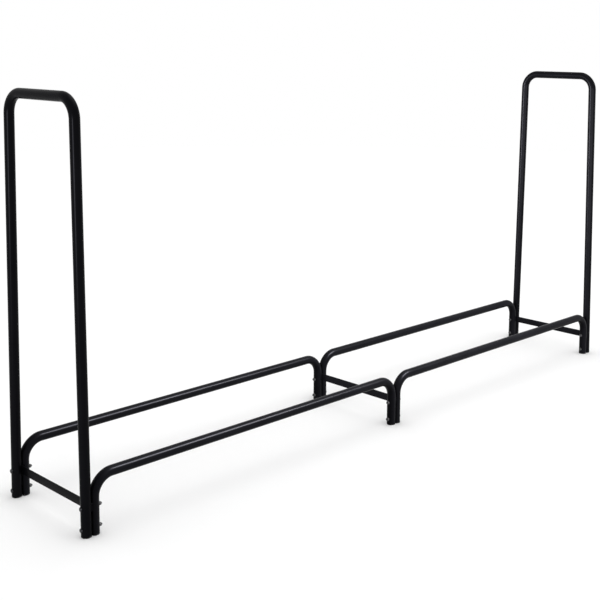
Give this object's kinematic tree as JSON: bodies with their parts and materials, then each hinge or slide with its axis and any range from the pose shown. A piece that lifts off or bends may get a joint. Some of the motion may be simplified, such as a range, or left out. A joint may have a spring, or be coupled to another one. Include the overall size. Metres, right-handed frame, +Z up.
{
  "type": "firewood log rack",
  "caption": "Long low steel-tube rack for stacked firewood, with a tall bent-tube hoop at each end, raised base rails and flat crossbars, all bolted together.",
  "frame": {"origin": "on the floor, at the middle of the rack's length and width", "axes": "+X along the rack, from the left end to the right end; +Y from the front to the rear across the rack; +Z up"},
  "size_m": [2.412, 0.368, 1.124],
  "materials": {
    "black_powder_coat": "black powder coat on steel tube and flat bar, satin, with a fine orange-peel texture",
    "black_zinc": "black zinc plated steel bolts and nuts",
    "black_plastic": "black moulded plastic, matt"
  },
  "bodies": {
    "root": {"end_hoop_left": "black_powder_coat", "end_hoop_right": "black_powder_coat", "base_rail_front_left": "black_powder_coat", "base_rail_rear_left": "black_powder_coat", "base_rail_front_right": "black_powder_coat", "base_rail_rear_right": "black_powder_coat", "crossbar_left": "black_powder_coat", "crossbar_middle": "black_powder_coat", "crossbar_right": "black_powder_coat", "bolt_front_left_lower": "black_zinc", "nut_front_left_lower": "black_zinc", "bolt_front_left_upper": "black_zinc", "nut_front_left_upper": "black_zinc", "bolt_front_middle_lower": "black_zinc", "nut_front_middle_lower": "black_zinc", "bolt_front_middle_upper": "black_zinc", "nut_front_middle_upper": "black_zinc", "bolt_front_right_lower": "black_zinc", "nut_front_right_lower": "black_zinc", "bolt_front_right_upper": "black_zinc", "nut_front_right_upper": "black_zinc", "bolt_rear_left_lower": "black_zinc", "nut_rear_left_lower": "black_zinc", "bolt_rear_left_upper": "black_zinc", "nut_rear_left_upper": "black_zinc", "bolt_rear_middle_lower": "black_zinc", "nut_rear_middle_lower": "black_zinc", "bolt_rear_middle_upper": "black_zinc", "nut_rear_middle_upper": "black_zinc", "bolt_rear_right_lower": "black_zinc", "nut_rear_right_lower": "black_zinc", "bolt_rear_right_upper": "black_zinc", "nut_rear_right_upper": "black_zinc", "plug_hoop_front_left": "black_plastic", "plug_rail_front_left_outer": "black_plastic", "plug_rail_front_left_inner": "black_plastic", "plug_hoop_front_right": "black_plastic", "plug_rail_front_right_outer": "black_plastic", "plug_rail_front_right_inner": "black_plastic", "plug_hoop_rear_left": "black_plastic", "plug_rail_rear_left_outer": "black_plastic", "plug_rail_rear_left_inner": "black_plastic", "plug_hoop_rear_right": "black_plastic", "plug_rail_rear_right_outer": "black_plastic", "plug_rail_rear_right_inner": "black_plastic"}
  },
  "joints": []
}
